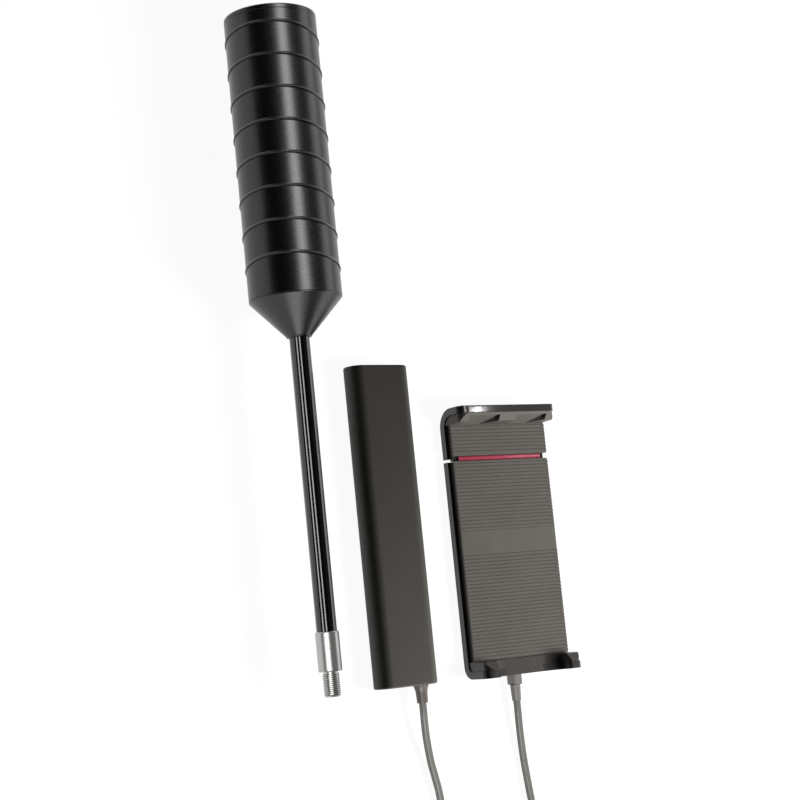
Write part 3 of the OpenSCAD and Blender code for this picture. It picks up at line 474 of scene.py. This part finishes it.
def piece(name, shape, *nodes, slot=None, finish=None, body="units", smooth=40, even=True):
    """Makes a shape a finished piece that stands for the given solids and rides on their body."""
    slot = slot or slot_of[nodes[0]]
    bmesh.ops.scale(shape, vec=(MM,) * 3, verts=shape.verts)
    mesh = bpy.data.meshes.new(name)
    shape.to_mesh(mesh)
    shape.free()
    mesh.materials.append(finish or FINISHES[slot])
    mesh.shade_smooth()
    mesh.set_sharp_from_angle(angle=math.radians(smooth))
    new = bpy.data.objects.new(name, mesh)
    scene.collection.objects.link(new)
    if even:
        new.modifiers.new("even_shading", "WEIGHTED_NORMAL").keep_sharp = True
    if body:
        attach(new, body)
    if nodes:
        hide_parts(*nodes)
    made[name] = new


def placed(shape, place, way):
    """A copy of a piece that was drawn from the origin along Y, now at its place and along the given way."""
    copy = shape.copy()
    turn = Vector((0, 1, 0)).rotation_difference(Vector(way)).to_matrix()
    bmesh.ops.rotate(copy, verts=copy.verts, cent=(0, 0, 0), matrix=turn)
    bmesh.ops.translate(copy, verts=copy.verts, vec=place)
    return copy


def ringed(low, high, outer, inner, pitch):
    """Points (y, radius) of a thread drawn as rings."""
    count = int((high - low) / pitch)
    return [point for k in range(count)
            for point in ((low + k * pitch, inner), (low + (k + 0.5) * pitch, outer))] + [(high, inner)]


def screw(head_r, head_t, shank_r, length):
    """Pan head screw along Y, its drive face at the origin, with a cross recess."""
    section = [(0, 0), (0, head_r, head_t * 0.4), (head_t, head_r, 0.08), (head_t, shank_r)]
    section += ringed(head_t + 0.3, length - 0.4, shank_r, shank_r * 0.78, 0.45)
    section += [(length, shank_r * 0.5), (length, 0)]
    body = revolved(filleted(section, closed=False), (0, 0), closed=False, steps=32)
    arm, reach = head_r * 0.15, head_r * 0.6
    for half_x, half_z in ((arm, reach), (reach, arm)):
        slot = prism(rectangle((0, 0), half_x, half_z), 1, -1, head_t * 0.55)
        body = combined(body, slot, "DIFFERENCE")
    return body


def box_mm(node):
    """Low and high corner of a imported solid."""
    low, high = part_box(node)
    return low / MM, high / MM


# Antenna

# The antenna's axis (x, z), the radii on it, the beads and the stud's thread (3/8 inch, 24 to the inch)
ANTENNA = (-78.7, 27.9)
RADOME_R, SPIGOT_R, MAST_R, SEAT_R, FERRULE_R = 27, 24.4, 5.9, 6.0, 6.8
BEAD_COUNT, BEAD_TOP, BEAD_PITCH = 8, 186.3, 19.3
BEAD_SLANT, BEAD_TURN = math.radians(12.7), math.radians(42)
THREAD_R, ROOT_R, THREAD_PITCH = 4.76, 4.2, 25.4 / 24


def make_radome():
    """Tube with eight slanted beads, each with a sloped upper flank and a sharp lower one."""
    low, high = box_mm("radome")
    wall, rim = 2.4, 0.25
    section = [(high.y, RADOME_R - wall), (high.y, RADOME_R, rim)]
    for i in range(BEAD_COUNT):
        y = BEAD_TOP - i * BEAD_PITCH
        section += [(y + 1.3, RADOME_R, 0.6), (y + 0.1, RADOME_R + 0.65, 0.3), (y - 0.4, RADOME_R + 0.3, 0.2),
                    (y - 0.45, RADOME_R - 0.3, 0.1), (y - 0.7, RADOME_R - 0.3, 0.1), (y - 0.8, RADOME_R, 0.1)]
    section += [(low.y, RADOME_R, rim), (low.y, RADOME_R - wall)]
    shape = revolved(filleted(section), ANTENNA, steps=160)
    for v in shape.verts:
        if low.y + 2 < v.co.y < high.y - 2:
            x, z = v.co.x - ANTENNA[0], v.co.z - ANTENNA[1]
            v.co.y += math.tan(BEAD_SLANT) * (z * math.cos(BEAD_TURN) - x * math.sin(BEAD_TURN))
    piece("radome_tube", shape, "radome", smooth=50)


def make_radome_ends():
    """Lid and cone, each with a spigot inside the tube; the cone's narrow end holds the mast."""
    high = box_mm("radome_cap")[1]
    seam = box_mm("radome")[1].y + 0.05
    lid = filleted([(seam - 6, 0), (seam - 6, SPIGOT_R, 0.4), (seam, SPIGOT_R), (seam, RADOME_R, 0.3),
                    (high.y, RADOME_R, 1.2), (high.y, 0)], closed=False)
    piece("radome_lid", revolved(lid, ANTENNA, closed=False, steps=160), "radome_cap")
    low, high = box_mm("radome_cone")
    seam = box_mm("radome")[0].y - 0.05
    neck = filleted([(high.y, 20.5), (high.y, SPIGOT_R, 0.4), (seam, SPIGOT_R), (seam, RADOME_R, 0.3),
                     (seam - 0.6, RADOME_R, 0.4), (low.y + 0.9, 7.6, 0.8), (low.y, 7.1, 0.4), (low.y, SEAT_R),
                     (seam - 4, SEAT_R)])
    piece("tapered_neck", revolved(neck, ANTENNA, steps=160), "radome_cone")


def threaded(centre, low, high, major, minor, pitch, turn_steps=32):
    """Rod along Y with a helical thread, its ends cut square."""
    x, z = centre
    shape = bmesh.new()
    turns = math.ceil((high - low) / pitch) + 3
    flat = pitch * 0.3
    tooth = filleted([(0, minor), (pitch / 2 - flat, major), (pitch / 2 + flat, major), (pitch, minor)],
                     closed=False)
    corners = [shape.verts.new((x + r, low - 1.5 * pitch + y, z)) for y, r in tooth]
    edges = [shape.edges.new(pair) for pair in zip(corners, corners[1:])]
    steps = turns * turn_steps
    bmesh.ops.spin(shape, geom=corners + edges, cent=(x, 0, z), axis=(0, 1, 0), angle=math.tau * turns,
                   steps=steps, dvec=(0, pitch / turn_steps, 0))
    bmesh.ops.remove_doubles(shape, verts=shape.verts, dist=0.01)
    for y, outer in ((low, False), (high, True)):
        geom = shape.verts[:] + shape.edges[:] + shape.faces[:]
        bmesh.ops.bisect_plane(shape, geom=geom, plane_co=(0, y, 0), plane_no=(0, 1, 0),
                               clear_outer=outer, clear_inner=not outer, dist=1e-4)
        rim = [e for e in shape.edges if e.is_boundary and all(abs(v.co.y - y) < 0.01 for v in e.verts)]
        bmesh.ops.contextual_create(shape, geom=rim)
    bmesh.ops.recalc_face_normals(shape, faces=shape.faces)
    return shape


def chamfered(shape, centre, tip, radius):
    """Draws in a rod's low end at 45 degrees, to the given radius at its tip."""
    for v in shape.verts:
        off = Vector((v.co.x - centre[0], 0, v.co.z - centre[1]))
        most = radius + abs(v.co.y - tip)
        if off.length > most:
            off *= most / off.length
            v.co = Vector((centre[0] + off.x, v.co.y, centre[1] + off.z))
    return shape


def make_mast():
    """Mast tube, the ferrule on its end, and the threaded stud below it."""
    low, high = box_mm("mast")
    tube = filleted([(low.y, 4), (low.y, MAST_R, 0.3), (high.y, MAST_R, 0.3), (high.y, 4)])
    piece("mast_tube", revolved(tube, ANTENNA, steps=96), "mast")
    low, high = box_mm("ferrule")
    seat = high.y - 11.9
    sleeve = filleted([(low.y, 0), (low.y, FERRULE_R, 0.5), (high.y, FERRULE_R, 0.7), (high.y, SEAT_R),
                       (seat, SEAT_R), (seat, 0)], closed=False)
    piece("ferrule_sleeve", revolved(sleeve, ANTENNA, closed=False, steps=96), "ferrule")
    tip, neck_end = box_mm("stud")[0].y, low.y - 0.05
    rod = threaded(ANTENNA, tip, neck_end - 1.2, THREAD_R, ROOT_R, THREAD_PITCH)
    rod = chamfered(rod, ANTENNA, tip, 3.8)
    neck = filleted([(neck_end - 1.5, 0), (neck_end - 1.5, 4.1), (neck_end, 4.1), (neck_end, 0)],
                    closed=False)
    neck = revolved(neck, ANTENNA, closed=False, steps=64)
    piece("threaded_stud", joined([rod, neck]), "stud", even=False)


# Booster

BOOSTER_X = -16.4


def make_booster():
    """Case (a little wider than its solid), end caps, cord relief, screws, jack and power inlet."""
    low, high = box_mm("booster_sleeve")
    r, stretch, wall = 7.6, 0.4, 1.8
    left, right = low.x - stretch, high.x + stretch
    outline = filleted([(left, low.z, r), (right, low.z, r), (right, high.z, r), (left, high.z, r)])
    shape = bmesh.new()
    ring = [shape.verts.new((x, low.y, z)) for x, z in outline]
    edges = [shape.edges.new(pair) for pair in zip(ring, ring[1:] + ring[:1])]
    grown = bmesh.ops.extrude_edge_only(shape, edges=edges)
    bmesh.ops.translate(shape, vec=(0, high.y - low.y, 0),
                        verts=[g for g in grown["geom"] if isinstance(g, bmesh.types.BMVert)])
    bmesh.ops.recalc_face_normals(shape, faces=shape.faces)

    def spot(v):
        return tuple(round(c, 3) for c in v.co)

    outside = {spot(v) for v in shape.verts}
    bmesh.ops.solidify(shape, geom=shape.faces, thickness=wall + stretch)
    bmesh.ops.recalc_face_normals(shape, faces=shape.faces)
    softened(shape, 1.1, 60, 4, lambda e: all(spot(v) in outside for v in e.verts))
    softened(shape, 0.25, 60)
    piece("booster_case", shape, "booster_sleeve")
    piece("top_cap", softened(solid_of("upper_end_cap"), 0.25), "upper_end_cap")
    piece("bottom_cap", softened(solid_of("lower_end_cap"), 0.25), "lower_end_cap")
    relief = softened(solid_of("strain_relief"), 0.3, sharper=12)
    piece("cord_relief", relief, "strain_relief", finish=relief_rubber)
    bottom, top = low.y + 0.1, high.y - 0.1
    small = screw(1.3, 1, 0.8, 9)
    screws = [placed(small, (BOOSTER_X + side * 15.35, y, 4.8), (0, way, 0))
              for side in (-1, 1) for y, way in ((bottom, 1), (top, -1))]
    piece("cap_screws", joined(screws), "end_cap_screws")
    make_jack()
    inlet_low, inlet_high = box_mm("power_inlet")
    piece("inlet_shell", softened(solid_of("power_inlet"), 0.08), "power_inlet")
    middle = ((inlet_low.x + inlet_high.x) / 2, (inlet_low.z + inlet_high.z) / 2)
    tongue = prism(rectangle(middle, 3.4, 0.45), 1, inlet_high.y - 6, inlet_high.y - 0.5)
    piece("inlet_tongue", softened(tongue, 0.1), slot="cap_plastic")


def make_jack():
    """Coaxial jack: threaded barrel with a bore, white insulator and a centre contact."""
    jack, base, tip = (-23.4, 8.25), -11.9, -2.4
    barrel = [(base + 0.8, 2.6)] + ringed(base + 0.9, tip - 0.7, 3.175, 2.8, 0.706)
    barrel += [(tip, 2.75), (tip, 2.3), (tip - 4, 2.3), (tip - 4, 0), (base - 2.3, 0), (base - 2.3, 2.6)]
    shape = revolved(filleted(barrel), jack, steps=48)
    block = prism(rectangle(jack, 3.5, 3.5), 1, base - 5.3, base - 1.3)
    piece("jack_barrel", joined([shape, softened(block, 0.3)]), "antenna_jack", smooth=30)
    ring = filleted([(tip - 3.95, 0.5), (tip - 3.95, 2.25), (tip - 1.2, 2.25, 0.15), (tip - 1.2, 0.5)])
    piece("jack_insulator", revolved(ring, jack, steps=40), slot="white_plastic")
    pin = filleted([(tip - 3.9, 0.2), (tip - 3.9, 0.48), (tip - 0.9, 0.48, 0.08), (tip - 0.9, 0.25)])
    piece("jack_contact", revolved(pin, jack, steps=24), slot="brass")


# Cradle

# The cradle's middle line, the middle of its back mount and the spacing of the mount's holes
CRADLE_X, MOUNT_Y, MOUNT_DX, MOUNT_DY = 69.6, -105.1, 30.2, 38.1


def grooved(shape, depth):
    """Deepens the grooves between a pad's ribs, 0.4 mm below its top, so that they read as dark lines."""
    top = max(v.co.z for v in shape.verts)
    least, most = 0.3, 0.5
    for v in shape.verts:
        if least < top - v.co.z < most:
            v.co.z -= depth
    return shape


def make_cradle():
    """Shells, lip liners, red strip, slide, plug and pads: the solids with rounded edges."""
    # The jaw's lining wears the rubber's paler copy (painted light), the lower lip's lining its darker copy
    # (painted shade)
    own = {"plug_body": plug_vinyl, "lower_wedge": painted_shade_rubber, "jaw_wedge": painted_lit_rubber}
    for name, node, width, body in (
            ("cradle_back", "cradle_shell", 0.45, "units"), ("jaw_back", "jaw_shell", 0.45, "jaw"),
            ("lower_wedge", "lower_lip_liner", 0.3, "units"), ("jaw_wedge", "jaw_lip_liner", 0.3, "jaw"),
            ("red_strip", "accent_strip", 0.3, "jaw"), ("plug_body", "plug", 0.4, "units"),
            ("slide_tongue", "slide_plate", 0.3, "jaw"), ("slide_channel", "cradle_chassis", 0.3, "units"),
            ("coax_block", "coax_socket", 0.2, "units")):
        piece(name, softened(solid_of(node), width), node, body=body, finish=own.get(name))
    for name, node, body in (("lower_pad", "lower_grip", "units"), ("jaw_pad", "jaw_grip", "jaw")):
        piece(name, softened(grooved(solid_of(node), 0.15), 0.12), node, body=body)


def make_fasteners():
    """Screws and threaded inserts of the cradle's back."""
    back_screw = screw(1.9, 1.1, 0.9, 6.6)
    places = [(CRADLE_X + side * 33.1, y, 0.1) for side in (-1, 1) for y in (-171.1, -126.6)]
    piece("back_screws", joined([placed(back_screw, place, (0, 0, 1)) for place in places]), "shell_screws")
    places = [(CRADLE_X + side * 26, -46.4, 0.1) for side in (-1, 1)]
    piece("slide_screws", joined([placed(back_screw, place, (0, 0, 1)) for place in places]), "jaw_screws",
          body="jaw")
    section = [(0, 2.3), (0.05, 2.9, 0.1), (0.3, 3.0), (4.2, 3.0, 0.2), (4.2, 2.1)]
    insert = revolved(filleted(section + ringed(0.35, 3.9, 2.0, 1.68, 0.7)[::-1]), (0, 0), steps=48)
    places = [(CRADLE_X + side * MOUNT_DX / 2, MOUNT_Y + end * MOUNT_DY / 2, 0)
              for side in (-1, 1) for end in (-1, 1)]
    piece("threaded_inserts", joined([placed(insert, place, (0, 0, 1)) for place in places]), "mount_inserts")


def make_springs():
    """Two springs that pull the jaw in, each a coil with a loop round its pin."""
    low, high = box_mm("return_springs")
    coil_r, wire_r, z = 1.25, 0.3, 6.05
    turns, per_turn = 14, 16
    shapes = []
    for x in (CRADLE_X - 30, CRADLE_X + 30):
        shape = bmesh.new()
        wire = bmesh.ops.create_circle(shape, segments=8, radius=wire_r)["verts"]
        bmesh.ops.translate(shape, verts=wire, vec=(x + coil_r, low.y + wire_r, z))
        ring = shape.edges[:]
        rise = (high.y - low.y - 2 * wire_r) / (turns * per_turn)
        bmesh.ops.spin(shape, geom=wire + ring, cent=(x, 0, z), axis=(0, 1, 0), angle=math.tau * turns,
                       steps=turns * per_turn, dvec=(0, rise, 0))
        bmesh.ops.holes_fill(shape, edges=[e for e in shape.edges if e.is_boundary])
        bmesh.ops.recalc_face_normals(shape, faces=shape.faces)
        loop = revolved([(wire_r * math.sin(a), coil_r + wire_r * math.cos(a))
                         for a in (math.tau * k / 8 for k in range(8))], (0, 0), steps=24)
        shapes += [shape, placed(loop, (x, low.y - 1.2, z), (0, 0, 1))]
        loop.free()
    piece("pull_springs", joined(shapes), "return_springs", body=None, even=False)
    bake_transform(made["pull_springs"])


def make_plug_boot():
    """Tapered boot behind the plug, hollow where the cord enters."""
    low, high = box_mm("plug_boot")
    centre = ((low.x + high.x) / 2, (low.z + high.z) / 2)
    boot = filleted([(low.y, 2.3), (low.y, 2.75, 0.2), (high.y, 3.25, 0.3), (high.y, 0), (low.y + 3, 0),
                     (low.y + 3, 2.3)], closed=False)
    piece("plug_sleeve", revolved(boot, centre, closed=False, steps=48), "plug_boot", finish=plug_vinyl)


def make_strap():
    """Tape round the coil with its loose end lapped over the top."""
    low, high = box_mm("coil_tie")
    band = 0.9
    outer = filleted([(low.y, low.z, 2.4), (high.y, low.z, 2.4), (high.y, high.z, 2.4), (low.y, high.z, 2.4)])
    inner = filleted([(low.y + band, low.z + band, 1.6), (high.y - band, low.z + band, 1.6),
                      (high.y - band, high.z - band, 1.6), (low.y + band, high.z - band, 1.6)])
    ring = combined(prism(outer, 0, low.x, high.x), prism(inner, 0, low.x - 1, high.x + 1), "DIFFERENCE")
    lap = filleted([(low.y + 2.5, high.z - 0.3), (high.y - 2.2, high.z - 0.3),
                    (high.y - 2.2, high.z + 0.5, 0.3), (low.y + 2.5, high.z + 0.5, 0.3)])
    tail = prism(lap, 0, low.x + 0.2, high.x - 0.2)
    piece("coil_strap", joined([softened(ring, 0.15, sharper=50), tail]), "coil_tie")


# Cord

# The coil's centre, its middle radius and its height on the table; then the runs from the units to it
CORD_D, TURN_STEP = 4.5, 4.5 * 1.02
COIL, COIL_R, COIL_Z = (36, -315), 26.8, 1.1
COIL_OUT = COIL_R + 1.5 * TURN_STEP
BOOSTER_RUN = [(-5.8, -203.05, 8.25), (-5.8, -208.9, 8.25), (-4.4, -223, 6.4), (-0.8, -239, 3.6),
               (2.8, -255, 3.2), (4.2, -273, 3.3), (COIL[0] - COIL_OUT + 1.2, -293, 3.4)]
CRADLE_RUN = [(65.4, -209.25, 5.4), (65.4, -215.1, 5.4), (66.2, -229, 4.2), (67.8, -245, 3),
              (69.2, -261, 3.2), (70, -279, 4.6), (COIL[0] + COIL_OUT + 0.2, -297, 6.6)]


def eased(share):
    """From 0 to 1 with a soft start and a soft end."""
    share = min(max(share, 0), 1)
    return 2 * share ** 2 if share < 0.5 else 1 - 2 * (1 - share) ** 2


def coil_points(per_turn=24):
    """Seven and a half turns: four inwards on the table, one step up, then outwards on top of them."""
    start, end, ease = 180, 2880, 100
    points = []
    for k in range(round((end - start) / 360 * per_turn) + 1):
        angle = start + 360 * k / per_turn
        inward = sum(eased((angle - 360 * turn - 115) / ease) for turn in (1, 2, 3))
        upward = eased((angle - 360 * 4 - 60) / ease)
        outward = sum(eased((angle - 360 * turn + 40) / ease) for turn in (5, 6, 7))
        r = COIL_R + (1.5 - inward + outward) * TURN_STEP
        heading = math.radians(angle)
        points.append((COIL[0] + r * math.cos(heading), COIL[1] + r * math.sin(heading),
                       COIL_Z + CORD_D / 2 + upward * TURN_STEP))
    return points


def between(a, b, c, d):
    """The middle of the smooth curve from b to c."""
    return tuple((9 * (q + r) - p - s) / 16 for p, q, r, s in zip(a, b, c, d))


def smooth_run(points, following):
    """The run's own points, straight out at first, with one more in the middle of each later stretch."""
    whole = points + [following]
    route = points[:1]
    for i in range(1, len(points) - 1):
        route += [points[i], between(*whole[i - 1:i + 3])]
    return route + [points[-1]]


def make_cord():
    """The cord from the booster's relief, through the coil, to the cradle's plug."""
    coil = coil_points()
    route = smooth_run(BOOSTER_RUN, coil[0]) + coil + smooth_run(CRADLE_RUN, coil[-1])[::-1]
    curve = bpy.data.curves.new("cord", "CURVE")
    curve.dimensions, curve.bevel_depth, curve.bevel_resolution = "3D", CORD_D / 2 * MM, 5
    curve.resolution_u, curve.use_fill_caps = 5, True
    line = curve.splines.new("BEZIER")
    line.bezier_points.add(len(route) - 1)
    places = [Vector(place) * MM for place in route]
    earlier, later = places[:1] + places, places[1:] + places[-1:]
    for point, before, here, after in zip(line.bezier_points, earlier, places, later):
        way = (after - before).normalized()
        point.handle_left_type = point.handle_right_type = "FREE"
        point.co = here
        point.handle_left = here - way * (here - before).length / 3
        point.handle_right = here + way * (after - here).length / 3
    curve.materials.append(FINISHES["cord_rubber"])
    cord = bpy.data.objects.new("cord", curve)
    scene.collection.objects.link(cord)
    made["cord"] = cord
    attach(cord, "units")
    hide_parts("booster_cord_run", "cradle_cord_run", "cord_coil")


place_camera()
lay_table()
make_radome()
make_radome_ends()
make_mast()
make_booster()
make_cradle()
make_fasteners()
make_springs()
make_plug_boot()
make_strap()
make_cord()
set_light()
set_room()

# Solids that no piece stands for wear the finish of their own slot
for name, solid in frame["nodes"].items():
    for place in solid.material_slots:
        place.material = FINISHES[slot_of[name]]
